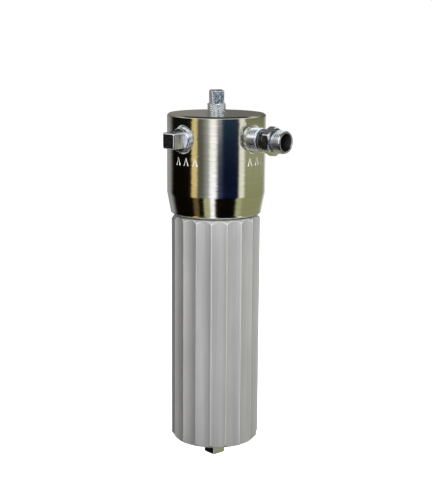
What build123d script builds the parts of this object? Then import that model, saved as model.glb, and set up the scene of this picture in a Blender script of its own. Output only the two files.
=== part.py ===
from build123d import *
import math
import os

# ---------------------------------------------------------------------------
# Driving dimensions, millimetres and degrees.
# The model is laid out about the filter's long axis, with height 0 at the
# centre line of the side ports. It is moved at the end, so that the origin is
# at the mouth of the inlet port.
# ---------------------------------------------------------------------------

# Head, turned from 2 3/4 inch bar
head_r = 34.925
head_top_z = 16.2
head_top_chamfer = 1.2
taper_top_z = -39.4
taper_end_z = -52.9
taper_end_r = 32.4
head_lip_z = -53.7
head_lip_r = 30.9
head_bottom_z = -54.6

# Ports in the head: the direction that each one faces, about the long axis
inlet_angle = 90
nipple_angle = -90
side_plug_angle = 180
port_r = 7.96               # 3/8 NPT, at the pitch diameter
port_face = 32.9            # from the long axis to where the full wall starts
port_depth = 12.0
port_drill_r = 5.2
outlet_drill_end = 14.0
top_port_r = 6.24           # 1/4 NPT, at the pitch diameter
top_port_depth = 10.5
sink_width = 1.7            # countersink of every pipe port, at 45 degrees
fit_gap = 0.02
overrun = 1.0               # how far a cutter runs past the face that it opens

# Inside of the head
ceiling_z = -24.0
seal_bore_r = 24.8
thread_bore_r = 26.05
thread_bore_top_z = -34.5
thread_chamfer = 1.0
centre_bore_r = 5.5
spigot_bore_r = 8.0
spigot_bore_top_z = -12.5
outlet_passage_r = 3.0
outlet_passage_at = 17.4

# Flow marks stamped in the head
mark_z = -15.0
mark_height = 6.0
mark_width = 4.6
mark_stroke = 0.9
mark_depth = 0.3
mark_spacing = 7.2
mark_offset = 5.0           # degrees past the port that the marks belong to

# Bowl, from 2 1/2 inch fluted bar
bowl_r = 31.75
flute_count = 18
flute_depth = 1.9
ridge_flat = 0.45
first_ridge = -4.0
shoulder_z = -55.8
shoulder_r = 29.3
ridge_top_z = -58.5
bowl_bottom_z = -221.5
bowl_bottom_chamfer = 2.5
neck_thread_r = 26.0
neck_thread_top_z = -35.2
neck_land_r = 24.75
neck_top_z = -24.05
neck_chamfer = 1.0
neck_bore_r = 20.5
neck_bore_end_z = -58.0
bowl_bore_r = 22.0
baffle_ledge_z = -204.0
sump_r = 19.0
sump_floor_z = -210.0
drain_port_depth = 8.5
drain_drill_r = 7.0

# Bowl seal
gland_top_z = -27.4
gland_bottom_z = -31.6
gland_r = 22.6
backup_ring_width = 1.4

# Element spigot
collar_af = 19.0
collar_bottom_z = -30.0
spigot_r = 8.0
spigot_bottom_z = -45.0
spigot_hole_r = 4.5
spigot_groove_z = -37.5
spigot_groove_width = 2.0
spigot_groove_r = 6.6
spigot_chamfer = 1.0
spigot_end_gap = 1.0

# Element: radii of the layers, from the core outwards
socket_r = 8.1
hub_r = 9.4
layer_gap = 0.05
core_wall = 0.8
mesh_wall = 0.4
sleeve_wall = 4.1
cage_wall = 0.7
foam_wall = 1.9
cap_skirt_wall = 0.6
cap_disc = 2.4
cap_skirt = 7.0
potting_depth = 2.0
element_top_z = -30.05
element_bottom_z = -182.0
hub_length = 16.5
cap_edge = 0.8
core_hole_r = 2.4
core_hole_rows = 13
core_holes_round = 6
cage_hole_r = 2.9
cage_hole_rows = 15
cage_holes_round = 8

# Spring and baffle
spring_mean_r = 8.5
spring_wire_r = 0.9
spring_turns = 5
spring_boss_r = 6.5
spring_boss_length = 4.0
baffle_thickness = 1.8
baffle_r = 21.9
baffle_hole_r = 1.6
baffle_hole_count = 12
baffle_hole_circle_r = 15.0

# Square-head pipe plugs
large_plug_square = 11.1
large_plug_head = 10.6
large_plug_thread_r = 8.55
side_plug_exposed = 4.1
drain_plug_exposed = 3.3
drain_plug_turned = -7.5
small_plug_square = 9.5
small_plug_head = 9.4
small_plug_thread_r = 6.85
top_plug_exposed = 7.0
top_plug_turned = -38.0
plug_engaged = 7.5
plug_corner_chamfer = 0.9
plug_tip_chamfer = 0.8
thread_edge = 0.7           # chamfer at both ends of a pipe thread

# Outlet nipple, as distances from the long axis
nipple_inner_end = 24.0
nipple_thread_end = 42.5
nipple_neck_end = 48.3
nipple_hex_end = 54.2
nipple_tip = 62.9
nipple_thread_r = 8.55
nipple_thread_step = 1.2
nipple_neck_r = 6.0
nipple_hex_af = 18.0
nipple_corner_cut = 0.75
hose_thread_r = 8.0
nipple_bore_r = 3.6
cone_seat_r = 6.4
cone_half_angle = 30.0
tip_chamfer = 0.8


# ---------------------------------------------------------------------------
# Shapes that repeat
# ---------------------------------------------------------------------------

def turned(*outline):
    """A solid of revolution about Z, from the (radius, height) corners of its half section."""
    corners = [(radius, 0, height) for radius, height in outline]
    return revolve(make_face(Polyline(*corners, close=True)), Axis.Z)


def ring(inner_r, outer_r, low_z, high_z):
    return turned((inner_r, low_z), (outer_r, low_z), (outer_r, high_z), (inner_r, high_z))


def o_ring(inner_r, outer_r, middle_z):
    """An O-ring, drawn at its squeezed section, just clear of the walls on both sides."""
    section_r = (outer_r - inner_r) / 2 - fit_gap
    return Pos(0, 0, middle_z) * Torus((outer_r + inner_r) / 2, section_r)


def facing(angle, shape):
    """Lay a shape that was made along +Z on the port centre line, facing the given direction."""
    return Rot(0, 0, angle) * (Rot(0, 90, 0) * shape)


def port_cutter(wall_r, face, depth, drill_r, drill_end):
    """A pipe port: countersink, threaded wall at its pitch radius, and the drilled way in."""
    sink_top = face + sink_width + overrun
    return turned(
        (0, drill_end), (drill_r, drill_end), (drill_r, face - depth), (wall_r, face - depth),
        (wall_r, face), (wall_r + sink_width + overrun, sink_top), (0, sink_top),
    )


def square_plug(face, exposed, wall_r, thread_r, square, head_length, turn):
    """A square-head pipe plug along +Z, with its socket face at the given height."""
    thread_top = face + sink_width + exposed
    inner_end = face - plug_engaged
    engaged_r = wall_r - fit_gap
    step_run = 2 * (thread_r - engaged_r)
    body = turned(
        (0, inner_end), (engaged_r - thread_edge, inner_end), (engaged_r, inner_end + thread_edge),
        (engaged_r, face), (thread_r, face + step_run), (thread_r, thread_top - thread_edge),
        (thread_r - thread_edge, thread_top), (0, thread_top),
    )
    head = Box(square, square, head_length)
    head = chamfer(head.edges().filter_by(Axis.Z), plug_corner_chamfer)
    head = chamfer(head.faces().sort_by(Axis.Z)[-1].edges(), plug_tip_chamfer)
    return body + Pos(0, 0, thread_top + head_length / 2) * Rot(0, 0, turn) * head


def perforated_tube(inner_r, outer_r, low_z, high_z, hole_r, rows, holes_round):
    """A tube with staggered rows of round holes."""
    tube = ring(inner_r, outer_r, low_z, high_z)
    row_pitch = (high_z - low_z) / (rows + 1)
    drills = []
    for row in range(rows):
        height = low_z + row_pitch * (row + 1)
        stagger = 0.5 * (row % 2)
        for hole in range(holes_round):
            angle = 360 * (hole + stagger) / holes_round
            drill = Pos(0, 0, (inner_r + outer_r) / 2) * Cylinder(hole_r, 2 * (outer_r - inner_r + overrun))
            drills.append(Pos(0, 0, height) * facing(angle, drill))
    return tube - drills


def polar(radius, angle):
    return (radius * math.cos(math.radians(angle)), radius * math.sin(math.radians(angle)))


# ---------------------------------------------------------------------------
# Head and what is screwed into it
# ---------------------------------------------------------------------------

def flow_mark(angle, points_up):
    """The cutter of one stamped chevron, on the head's side."""
    lift = mark_height / 2 if points_up else -mark_height / 2
    half = mark_width / 2
    tip_thickness = mark_stroke * mark_height / half / 2
    drop = -tip_thickness if points_up else tip_thickness
    outline = [
        (0, lift), (half, -lift), (half - mark_stroke, -lift), (0, lift + drop),
        (mark_stroke - half, -lift), (-half, -lift),
    ]
    plane = Plane(origin=(head_r - mark_depth, 0, mark_z), x_dir=(0, 1, 0), z_dir=(1, 0, 0))
    return Rot(0, 0, angle) * extrude(plane * make_face(Polyline(*outline, close=True)), mark_depth + overrun)


def flow_marks():
    """Three chevrons under each side port: they point to an outlet, and away from the inlet."""
    step = math.degrees(mark_spacing / head_r)
    cutters = []
    for port_angle, points_up in ((side_plug_angle, True), (nipple_angle, True), (inlet_angle, False)):
        for place in (-1, 0, 1):
            cutters.append(flow_mark(port_angle + mark_offset + place * step, points_up))
    return cutters


def make_head():
    blank = turned(
        (0, head_top_z), (head_r - head_top_chamfer, head_top_z), (head_r, head_top_z - head_top_chamfer),
        (head_r, taper_top_z), (taper_end_r, taper_end_z), (taper_end_r, head_lip_z),
        (head_lip_r, head_bottom_z), (0, head_bottom_z),
    )
    cavity = turned(
        (0, head_bottom_z), (thread_bore_r + thread_chamfer, head_bottom_z),
        (thread_bore_r, head_bottom_z + thread_chamfer), (thread_bore_r, thread_bore_top_z),
        (seal_bore_r, thread_bore_top_z + thread_bore_r - seal_bore_r), (seal_bore_r, ceiling_z),
        (0, ceiling_z),
    )
    top_face = head_top_z - sink_width
    top_port = port_cutter(top_port_r, top_face, top_port_depth, centre_bore_r, ceiling_z - overrun)
    spigot_bore = ring(0, spigot_bore_r, ceiling_z - overrun, spigot_bore_top_z)
    inlet = facing(inlet_angle, port_cutter(port_r, port_face, port_depth, port_drill_r, 0))
    cutters = [cavity, top_port, spigot_bore, inlet]
    for angle in (nipple_angle, side_plug_angle):
        outlet = port_cutter(port_r, port_face, port_depth, port_drill_r, outlet_drill_end)
        cutters.append(facing(angle, outlet))
        passage = Pos(outlet_passage_at, 0, ceiling_z / 2) * Cylinder(outlet_passage_r, overrun - ceiling_z)
        cutters.append(Rot(0, 0, angle) * passage)
    return blank - cutters - flow_marks()


def make_top_port_plug():
    face = head_top_z - sink_width
    return square_plug(face, top_plug_exposed, top_port_r, small_plug_thread_r,
                       small_plug_square, small_plug_head, top_plug_turned)


def make_side_port_plug():
    plug = square_plug(port_face, side_plug_exposed, port_r, large_plug_thread_r,
                       large_plug_square, large_plug_head, 0)
    return facing(side_plug_angle, plug)


def make_outlet_nipple():
    engaged_r = port_r - fit_gap
    turned_body = turned(
        (0, nipple_inner_end), (engaged_r - thread_edge, nipple_inner_end),
        (engaged_r, nipple_inner_end + thread_edge), (engaged_r, port_face),
        (nipple_thread_r, port_face + nipple_thread_step), (nipple_thread_r, nipple_thread_end - thread_edge),
        (nipple_thread_r - thread_edge, nipple_thread_end),
        (nipple_neck_r, nipple_thread_end), (nipple_neck_r, nipple_hex_end),
        (hose_thread_r, nipple_hex_end), (hose_thread_r, nipple_tip - tip_chamfer),
        (hose_thread_r - tip_chamfer, nipple_tip), (0, nipple_tip),
    )
    hex_length = nipple_hex_end - nipple_neck_end
    hexagon = RegularPolygon(nipple_hex_af / 2, 6, major_radius=False, rotation=0)
    hex_bar = Pos(0, 0, nipple_neck_end) * extrude(hexagon, hex_length)
    corner_r = nipple_hex_af / math.sqrt(3)
    corner_rise = nipple_corner_cut / 2
    envelope = turned(
        (0, nipple_neck_end), (corner_r - nipple_corner_cut, nipple_neck_end),
        (corner_r, nipple_neck_end + corner_rise), (corner_r, nipple_hex_end - corner_rise),
        (corner_r - nipple_corner_cut, nipple_hex_end), (0, nipple_hex_end),
    )
    cone_depth = (cone_seat_r - nipple_bore_r) / math.tan(math.radians(cone_half_angle))
    bore = turned(
        (0, nipple_inner_end), (nipple_bore_r, nipple_inner_end), (nipple_bore_r, nipple_tip - cone_depth),
        (cone_seat_r, nipple_tip), (0, nipple_tip),
    )
    return facing(nipple_angle, turned_body + (hex_bar & envelope) - bore)


def make_element_spigot():
    top_z = spigot_bore_top_z - spigot_end_gap
    shank = turned(
        (0, spigot_bottom_z), (spigot_r - spigot_chamfer, spigot_bottom_z),
        (spigot_r, spigot_bottom_z + spigot_chamfer), (spigot_r, ceiling_z),
        (spigot_bore_r - fit_gap, ceiling_z), (spigot_bore_r - fit_gap, top_z), (0, top_z),
    )
    hexagon = RegularPolygon(collar_af / 2, 6, major_radius=False)
    collar = Pos(0, 0, collar_bottom_z) * extrude(hexagon, ceiling_z - collar_bottom_z)
    groove = ring(spigot_groove_r, spigot_r + overrun, spigot_groove_z - spigot_groove_width / 2,
                  spigot_groove_z + spigot_groove_width / 2)
    hole = ring(0, spigot_hole_r, spigot_bottom_z, spigot_bore_top_z)
    return shank + collar - groove - hole


# ---------------------------------------------------------------------------
# Bowl and what moves with it
# ---------------------------------------------------------------------------

def fluted_bar(low_z, high_z):
    """The bar that the bowl is turned from: shallow hollow flutes between narrow ridges."""
    step = 360 / flute_count
    half_flat = math.degrees(ridge_flat / 2 / bowl_r)
    edges = []
    for flute in range(flute_count):
        ridge = first_ridge + flute * step
        start = polar(bowl_r, ridge + half_flat)
        middle = polar(bowl_r - flute_depth, ridge + step / 2)
        end = polar(bowl_r, ridge + step - half_flat)
        edges.append(ThreePointArc(start, middle, end))
        edges.append(Line(end, polar(bowl_r, ridge + step + half_flat)))
    return Pos(0, 0, low_z) * extrude(make_face(edges), high_z - low_z)


def make_bowl():
    outside_r = bowl_r + overrun
    body = fluted_bar(bowl_bottom_z, shoulder_z) & turned(
        (0, bowl_bottom_z), (bowl_r - bowl_bottom_chamfer, bowl_bottom_z),
        (outside_r, bowl_bottom_z + bowl_bottom_chamfer + overrun), (outside_r, ridge_top_z),
        (bowl_r, ridge_top_z), (shoulder_r, shoulder_z), (0, shoulder_z),
    )
    lead = neck_thread_r - neck_land_r
    neck = turned(
        (0, shoulder_z), (neck_thread_r, shoulder_z), (neck_thread_r, neck_thread_top_z - lead),
        (neck_land_r, neck_thread_top_z), (neck_land_r, gland_bottom_z), (gland_r, gland_bottom_z),
        (gland_r, gland_top_z), (neck_land_r, gland_top_z), (neck_land_r, neck_top_z - neck_chamfer),
        (neck_land_r - neck_chamfer, neck_top_z), (0, neck_top_z),
    )
    widening = bowl_bore_r - neck_bore_r
    hollow = turned(
        (0, neck_top_z), (neck_bore_r, neck_top_z), (neck_bore_r, neck_bore_end_z),
        (bowl_bore_r, neck_bore_end_z - widening), (bowl_bore_r, baffle_ledge_z),
        (sump_r, baffle_ledge_z), (sump_r, sump_floor_z), (0, sump_floor_z),
    )
    drain_face = -bowl_bottom_z - sink_width
    drain_end = -sump_floor_z - overrun
    drain = port_cutter(port_r, drain_face, drain_port_depth, drain_drill_r, drain_end)
    return body + neck - hollow - Rot(180, 0, 0) * drain


def make_drain_plug():
    plug = square_plug(-bowl_bottom_z - sink_width, drain_plug_exposed, port_r, large_plug_thread_r,
                       large_plug_square, large_plug_head, -drain_plug_turned)
    return Rot(180, 0, 0) * plug


def make_element_o_ring():
    return o_ring(spigot_groove_r, socket_r, spigot_groove_z)


def make_bowl_o_ring():
    seat_z = gland_bottom_z + backup_ring_width
    return o_ring(gland_r, seal_bore_r, (gland_top_z + seat_z) / 2)


def make_bowl_backup_ring():
    low_z = gland_bottom_z + fit_gap
    return ring(gland_r + fit_gap, seal_bore_r - fit_gap, low_z, low_z + backup_ring_width)


def make_quiet_zone_baffle():
    disc = ring(0, baffle_r, baffle_ledge_z, baffle_ledge_z + baffle_thickness)
    drills = []
    for hole in range(baffle_hole_count):
        x, y = polar(baffle_hole_circle_r, 360 * hole / baffle_hole_count)
        drills.append(Pos(x, y, baffle_ledge_z) * Cylinder(baffle_hole_r, 3 * baffle_thickness))
    return disc - drills


def make_element_spring():
    low_z = baffle_ledge_z + baffle_thickness + spring_wire_r + layer_gap
    high_z = element_bottom_z - spring_wire_r - layer_gap
    path = Helix(pitch=(high_z - low_z) / spring_turns, height=high_z - low_z, radius=spring_mean_r)
    wire = Plane(origin=path @ 0, z_dir=path % 0) * Circle(spring_wire_r)
    return Pos(0, 0, low_z) * sweep(wire, path, is_frenet=True)


# ---------------------------------------------------------------------------
# Element
# ---------------------------------------------------------------------------

core_inner_r = hub_r + layer_gap
core_outer_r = core_inner_r + core_wall
mesh_outer_r = core_outer_r + layer_gap + mesh_wall
sleeve_outer_r = mesh_outer_r + layer_gap + sleeve_wall
cage_outer_r = sleeve_outer_r + layer_gap + cage_wall
foam_outer_r = cage_outer_r + layer_gap + foam_wall
cap_inner_r = foam_outer_r + layer_gap
cap_outer_r = cap_inner_r + cap_skirt_wall
layers_top_z = element_top_z - cap_disc - potting_depth
layers_bottom_z = element_bottom_z + cap_disc + potting_depth


def make_element_upper_cap():
    under_z = element_top_z - cap_disc
    skirt_z = element_top_z - cap_skirt
    hub_z = element_top_z - hub_length
    return turned(
        (socket_r + cap_edge, element_top_z), (cap_outer_r - cap_edge, element_top_z),
        (cap_outer_r, element_top_z - cap_edge), (cap_outer_r, skirt_z), (cap_inner_r, skirt_z),
        (cap_inner_r, under_z), (hub_r, under_z), (hub_r, hub_z), (socket_r, hub_z),
        (socket_r, element_top_z - cap_edge),
    )


def make_element_lower_cap():
    over_z = element_bottom_z + cap_disc
    skirt_z = element_bottom_z + cap_skirt
    boss_z = element_bottom_z - spring_boss_length
    return turned(
        (0, boss_z), (spring_boss_r - cap_edge, boss_z), (spring_boss_r, boss_z + cap_edge),
        (spring_boss_r, element_bottom_z), (cap_outer_r - cap_edge, element_bottom_z),
        (cap_outer_r, element_bottom_z + cap_edge),
        (cap_outer_r, skirt_z), (cap_inner_r, skirt_z), (cap_inner_r, over_z), (0, over_z),
    )


def make_upper_potting():
    return ring(core_inner_r, foam_outer_r, layers_top_z, layers_top_z + potting_depth)


def make_lower_potting():
    return ring(0, foam_outer_r, layers_bottom_z - potting_depth, layers_bottom_z)


def make_element_core_tube():
    return perforated_tube(core_inner_r, core_outer_r, layers_bottom_z, layers_top_z,
                           core_hole_r, core_hole_rows, core_holes_round)


def make_inner_mesh():
    return ring(core_outer_r + layer_gap, mesh_outer_r, layers_bottom_z, layers_top_z)


def make_microfibre_sleeve():
    return ring(mesh_outer_r + layer_gap, sleeve_outer_r, layers_bottom_z, layers_top_z)


def make_outer_cage():
    return perforated_tube(sleeve_outer_r + layer_gap, cage_outer_r, layers_bottom_z, layers_top_z,
                           cage_hole_r, cage_hole_rows, cage_holes_round)


def make_foam_sleeve():
    return ring(cage_outer_r + layer_gap, foam_outer_r, layers_bottom_z, layers_top_z)


# ---------------------------------------------------------------------------
# Export
# ---------------------------------------------------------------------------

parts = {
    "head": make_head,
    "top_port_plug": make_top_port_plug,
    "side_port_plug": make_side_port_plug,
    "outlet_nipple": make_outlet_nipple,
    "element_spigot": make_element_spigot,
    "element_o_ring": make_element_o_ring,
    "bowl": make_bowl,
    "bowl_o_ring": make_bowl_o_ring,
    "bowl_backup_ring": make_bowl_backup_ring,
    "drain_plug": make_drain_plug,
    "quiet_zone_baffle": make_quiet_zone_baffle,
    "element_spring": make_element_spring,
    "element_upper_cap": make_element_upper_cap,
    "upper_potting": make_upper_potting,
    "element_core_tube": make_element_core_tube,
    "inner_mesh": make_inner_mesh,
    "microfibre_sleeve": make_microfibre_sleeve,
    "outer_cage": make_outer_cage,
    "foam_sleeve": make_foam_sleeve,
    "lower_potting": make_lower_potting,
    "element_lower_cap": make_element_lower_cap,
}

os.makedirs("parts", exist_ok=True)
to_inlet_mouth = Pos(0, -port_face, 0)
for node, make in parts.items():
    export_step(to_inlet_mouth * make(), f"parts/{node}.step")
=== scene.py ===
import bmesh
import bpy
import math
from mathutils import Matrix, Vector, noise


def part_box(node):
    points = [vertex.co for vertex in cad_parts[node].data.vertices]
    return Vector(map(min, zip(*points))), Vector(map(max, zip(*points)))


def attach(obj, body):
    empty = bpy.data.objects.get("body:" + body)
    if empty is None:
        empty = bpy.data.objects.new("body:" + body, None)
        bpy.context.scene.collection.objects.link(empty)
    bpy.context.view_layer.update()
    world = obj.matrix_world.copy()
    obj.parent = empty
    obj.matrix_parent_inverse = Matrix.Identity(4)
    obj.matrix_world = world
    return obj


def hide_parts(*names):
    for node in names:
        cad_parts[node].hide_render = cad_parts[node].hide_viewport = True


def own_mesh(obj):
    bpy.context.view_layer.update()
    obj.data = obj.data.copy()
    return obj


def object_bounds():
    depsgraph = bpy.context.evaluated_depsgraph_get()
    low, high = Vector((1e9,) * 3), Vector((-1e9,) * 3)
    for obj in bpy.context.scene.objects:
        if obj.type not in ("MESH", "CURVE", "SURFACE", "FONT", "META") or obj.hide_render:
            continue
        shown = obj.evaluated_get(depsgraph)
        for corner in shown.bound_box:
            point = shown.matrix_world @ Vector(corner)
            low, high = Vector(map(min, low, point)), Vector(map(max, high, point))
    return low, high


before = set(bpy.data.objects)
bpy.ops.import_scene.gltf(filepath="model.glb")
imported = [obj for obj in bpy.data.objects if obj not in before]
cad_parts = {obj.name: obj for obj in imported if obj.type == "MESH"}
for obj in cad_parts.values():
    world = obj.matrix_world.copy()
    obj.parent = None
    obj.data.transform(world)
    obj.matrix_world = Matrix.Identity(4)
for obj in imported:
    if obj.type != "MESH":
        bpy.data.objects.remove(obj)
cad_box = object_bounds()

# Where things are. Shapes are drawn in millimetres about the filter's long
# axis, with height 0 on the centre line of the side ports, as in the CAD, and
# are set in the frame by drawing_to_frame.

MM = 0.001
TURN = 2 * math.pi
head_low, head_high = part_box("head")
bowl_low, bowl_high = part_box("bowl")
axis_x = (head_low.x + head_high.x) / 2
axis_y = (head_low.y + head_high.y) / 2
drawing_to_frame = Matrix.Translation((axis_x, axis_y, 0)) @ Matrix.Scale(MM, 4)

# Head
head_r = (head_high.x - head_low.x) / 2 / MM
head_top_z = head_high.z / MM
head_bottom_z = head_low.z / MM
head_top_chamfer = 1.2
taper_top_z = -39.4
taper_end_z = -52.9
taper_end_r = 32.4
head_lip_z = -53.7
head_lip_r = 30.9
ceiling_z = -24.0
seal_bore_r = 24.8
thread_bore_r = 26.05
thread_bore_top_z = -34.5
centre_bore_r = 5.5
spigot_bore_r = 8.0
spigot_bore_top_z = -12.5
inlet_angle, nipple_angle, side_plug_angle = 90, -90, 180
port_face = -axis_y / MM
port_r = 7.96
port_depth = 12.0
port_drill_r = 5.2
outlet_drill_end = 14.0
outlet_passage_r = 3.0
outlet_passage_at = 17.4
top_port_r = 6.24
top_port_depth = 10.5
sink_width = 1.7
mark_z, mark_height, mark_width, mark_stroke, mark_depth = -15.0, 6.0, 4.6, 0.9, 0.3
mark_spacing, mark_offset = 7.2, 5.0

# Bowl
bowl_r = 31.75
bowl_bottom_z = bowl_low.z / MM
neck_top_z = bowl_high.z / MM
flute_count = 18
flute_depth = 1.9
ridge_flat = 0.45
first_ridge = -4.0
shoulder_z, shoulder_r, ridge_top_z = -55.8, 29.3, -58.5
bowl_bottom_chamfer = 2.5
neck_thread_r = 26.0
neck_thread_top_z = -35.2
neck_land_r = 24.75
neck_bore_r, neck_bore_end_z = 20.5, -58.0
bowl_bore_r = 22.0
baffle_ledge_z = -204.0
sump_r, sump_floor_z = 19.0, -210.0
drain_port_depth, drain_drill_r = 8.5, 7.0
gland_top_z, gland_bottom_z, gland_r = -27.4, -31.6, 22.6

# Threads: pitch and depth
PIPE_THREAD = (1.411, 0.95)
SMALL_PIPE_THREAD = (1.411, 0.85)
NECK_THREAD = (2.0, 1.1)
HOSE_THREAD = (1.5, 0.85)
THREAD_REACH = 0.45         # how close a point must be to the threaded wall to be cut
FLANK_STEEPNESS = 1.45      # 1 is a plain V, and more leaves flats on crest and root
CREST_TRIM = 0.05           # off the crest of an outside pipe thread
thread_steps = 12

# Rounding of corners
NEARLY_STRAIGHT = math.radians(172)
LARGEST_CUT = 0.35          # of the shorter side at a corner
SMALLEST_ROUNDING = 0.02
HOLD_AT = 1.4               # where the point that keeps a side flat stands, in cuts from the corner
ROUNDING_STEPS = 3
EDGE_WEAR_AND_HIGHLIGHT_ANGLE = math.radians(14)

# Plugs and nipple
LARGE_PLUG = (PIPE_THREAD, port_r, 11.1, 10.6)          # thread, pitch radius, square, length of square
SMALL_PLUG = (SMALL_PIPE_THREAD, top_port_r, 9.5, 9.4)
plug_engaged = 7.5
plug_columns = 240
nipple_inner_end, nipple_thread_end, nipple_neck_end = 24.0, 42.5, 48.3
nipple_hex_end, nipple_tip = 54.2, 62.9
nipple_neck_r, nipple_hex_af = 6.0, 18.0
hose_thread_r, nipple_bore_r, cone_seat_r = 8.0, 3.6, 6.4
cone_half_angle = math.radians(30)

# Element, spigot and spring
element_top_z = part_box("element_upper_cap")[1].z / MM
element_bottom_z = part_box("quiet_zone_baffle")[1].z / MM + 20.2
socket_r, hub_r, hub_length = 8.1, 9.4, 16.5
foam_low, foam_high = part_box("foam_sleeve")
foam_r = (foam_high.x - foam_low.x) / 2 / MM
foam_inner_r = foam_r - 1.9
cap_inner_r = foam_r + 0.05
cap_outer_r = (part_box("element_upper_cap")[1].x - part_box("element_upper_cap")[0].x) / 2 / MM
cap_disc, cap_skirt = 2.4, 7.0
spring_mean_r, spring_wire_r, spring_turns = 8.5, 0.9, 5
spring_boss_r, spring_boss_length = 6.5, 4.0


# ---- Building turned pieces ----

def soften(corners, size=0.25, closed=True):
    """Rounds the corners of a section, with a point close beside each rounding to hold the straight
    stretches flat. A corner with a third number has its own size, and 0 leaves it sharp."""
    out = []
    count = len(corners)
    for i, corner in enumerate(corners):
        here = Vector(corner[:2])
        own = corner[2] if len(corner) > 2 else size
        if not closed and i in (0, count - 1):
            out.append((here.x, here.y))
            continue
        before = Vector(corners[i - 1][:2]) - here
        after = Vector(corners[(i + 1) % count][:2]) - here
        straight = before.angle(after) > NEARLY_STRAIGHT
        cut = min(own, LARGEST_CUT * before.length, LARGEST_CUT * after.length)
        if own == 0 or straight or cut < SMALLEST_ROUNDING:
            out.append((here.x, here.y))
            continue
        before.normalize()
        after.normalize()
        out.append(tuple(here + before * cut * HOLD_AT))
        for step in range(ROUNDING_STEPS + 1):
            t = step / ROUNDING_STEPS
            out.append(tuple(here + before * cut * (1 - t) ** 2 + after * cut * t ** 2))
        out.append(tuple(here + after * cut * HOLD_AT))
    return out


def stretch(start, end, step):
    """Points from start to end, ends included, no further apart in height than step."""
    count = max(1, math.ceil(abs(end[1] - start[1]) / step))
    return [(start[0] + (end[0] - start[0]) * i / count, start[1] + (end[1] - start[1]) * i / count, 0)
            for i in range(count + 1)]


def thread_form(thread, wall_r, low, high, fade_low=False, fade_high=False):
    """How far a right-hand thread cuts into the wall near a radius, between two heights."""
    pitch, depth = thread

    def cut(radius, height, angle):
        if abs(radius - wall_r) > THREAD_REACH or not low <= height <= high:
            return 0.0
        phase = (height / pitch - angle / TURN) % 1
        form = min(1.0, max(0.0, (abs(2 * phase - 1) - 0.5) * FLANK_STEEPNESS + 0.5))
        if fade_low:
            form *= min(1.0, (height - low) / pitch)
        if fade_high:
            form *= min(1.0, (high - height) / pitch)
        return depth * form
    return cut


def polygon_radius(half_width, sides, turned, corner, angle):
    """Distance from the centre to the side of a polygon bar whose corners are cut and eased."""
    sharpness = 70
    corner_at = half_width / math.cos(math.pi / sides) - corner
    total = 0.0
    for k in range(sides):
        for width, offset in ((half_width, 0), (corner_at, 0.5)):
            facing_it = math.cos(angle - math.radians(turned) - TURN * (k + offset) / sides)
            if facing_it > 0.2:
                total += (facing_it / width) ** sharpness
    return total ** (-1 / sharpness)


def round_angles(columns):
    return [TURN * k / columns for k in range(columns)]


def round_points(rows):
    """The points of rows whose places are given as radius, angle and height."""
    return [[(r * math.cos(a), r * math.sin(a), z) for r, a, z in row] for row in rows]


def add(name, data):
    """A new object in the scene, from a mesh, a camera or a light."""
    obj = bpy.data.objects.new(name, data)
    bpy.context.scene.collection.objects.link(obj)
    return obj


def lay(angle):
    """Turns a shape drawn along +Z so that it points out of a side port."""
    return Matrix.Rotation(math.radians(angle), 4, "Z") @ Matrix.Rotation(math.pi / 2, 4, "Y")


def new_object(name, points, faces, turned_by=None):
    """A mesh object from points drawn along +Z, turned to where it belongs in the drawing."""
    turned_by = turned_by or Matrix.Identity(4)
    mesh = bpy.data.meshes.new(name)
    mesh.from_pydata([turned_by @ Vector(p) for p in points], [], faces)
    work = bmesh.new()
    work.from_mesh(mesh)
    bmesh.ops.recalc_face_normals(work, faces=work.faces)
    work.to_mesh(mesh)
    work.free()
    return add(name, mesh)


def skin(rows, closed):
    """Points and faces of rows of points, each row a ring. Unclosed ends run to a point in the middle."""
    count = len(rows[0])
    points = [p for row in rows for p in row]
    faces = []
    for i in range(len(rows) if closed else len(rows) - 1):
        j = (i + 1) % len(rows)
        for k in range(count):
            m = (k + 1) % count
            faces.append((i * count + k, i * count + m, j * count + m, j * count + k))
    if not closed:
        for row in (0, len(rows) - 1):
            centre = sum((Vector(p) for p in rows[row]), Vector()) / count
            points.append(tuple(centre))
            for k in range(count):
                faces.append((row * count + k, row * count + (k + 1) % count, len(points) - 1))
    return points, faces


def turned_rows(section, angles, cut=None):
    """A section carried round some angles. A thread's cut is taken off the radius."""
    return [[(r - (cut(r, z, a) if cut else 0), a, z) for a in angles] for r, z in section]


def lathe(name, section, closed=True, columns=160, cut=None, turned_by=None):
    """Turns a section into a piece."""
    rows = turned_rows(section, round_angles(columns), cut)
    return new_object(name, *skin(round_points(rows), closed), turned_by)


def subtract(obj, cutters):
    """Cuts tools out of a piece and removes the tools."""
    for cutter in cutters:
        step = obj.modifiers.new("cut", "BOOLEAN")
        step.object = cutter
        step.solver = "MANIFOLD"
    bpy.context.view_layer.update()
    mesh = bpy.data.meshes.new_from_object(obj.evaluated_get(bpy.context.evaluated_depsgraph_get()))
    obj.modifiers.clear()
    obj.data = mesh
    for cutter in cutters:
        bpy.data.objects.remove(cutter)


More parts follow.
